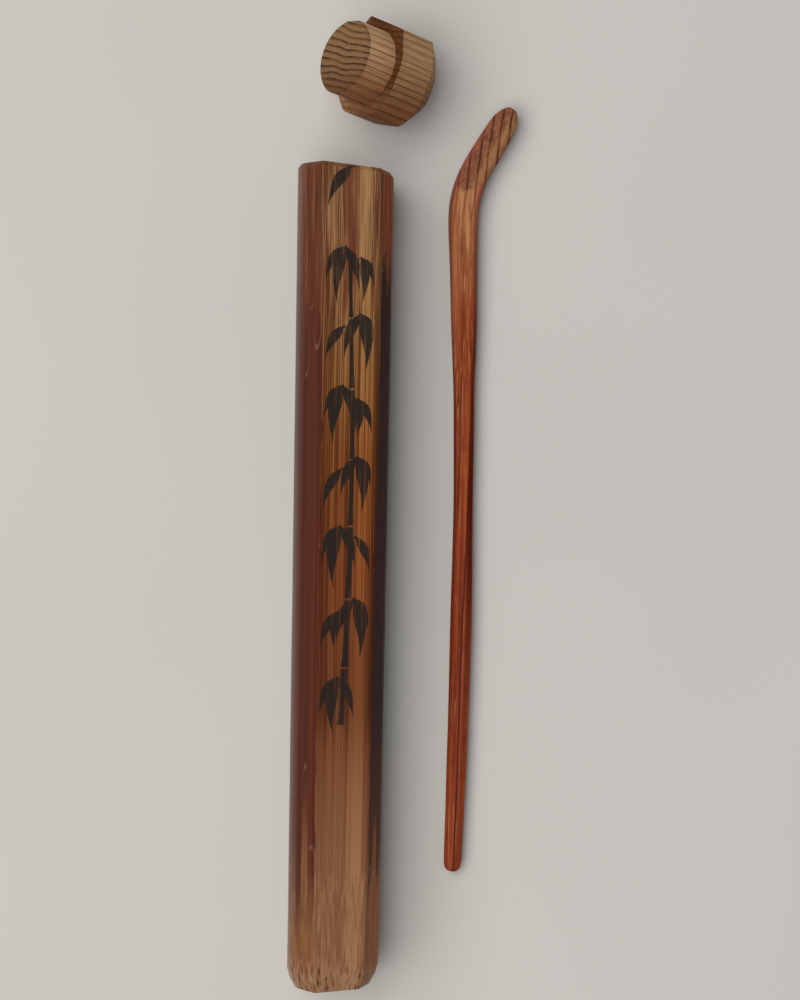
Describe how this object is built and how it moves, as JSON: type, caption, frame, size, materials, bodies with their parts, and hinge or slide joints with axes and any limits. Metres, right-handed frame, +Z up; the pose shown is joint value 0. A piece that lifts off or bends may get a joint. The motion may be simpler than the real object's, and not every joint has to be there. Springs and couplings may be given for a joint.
{
  "type": "tea scoop",
  "caption": "Carved and lacquered wooden tea scoop with a bent blade, lying beside its shaved bamboo tube case and the wooden stopper that closes the case.",
  "frame": {"origin": "middle of the flat facet that the bamboo case lies on", "axes": "+Y along the case toward its mouth, +Z up from the surface it lies on, +X toward the scoop"},
  "size_m": [0.0509, 0.2242, 0.0258],
  "materials": {
    "bamboo": "smoked bamboo with rubbed glossy skin and a shaved front facet",
    "striped_wood": "bare striped hardwood, matt",
    "lacquered_wood": "striped hardwood under thin red-brown wiped lacquer, satin, with a bare matt blade"
  },
  "bodies": {
    "case": {"bamboo_tube": "bamboo"},
    "stopper": {"stopper": "striped_wood"},
    "scoop": {"tea_scoop": "lacquered_wood"}
  },
  "joints": [
    {"name": "stopper_lift", "type": "slide", "parent": "case", "child": "stopper", "axis": [0, 0, 1], "range_m": [0, 0.06]},
    {"name": "scoop_lift", "type": "slide", "parent": "case", "child": "scoop", "axis": [0, 0, 1], "range_m": [0, 0.06]}
  ]
}
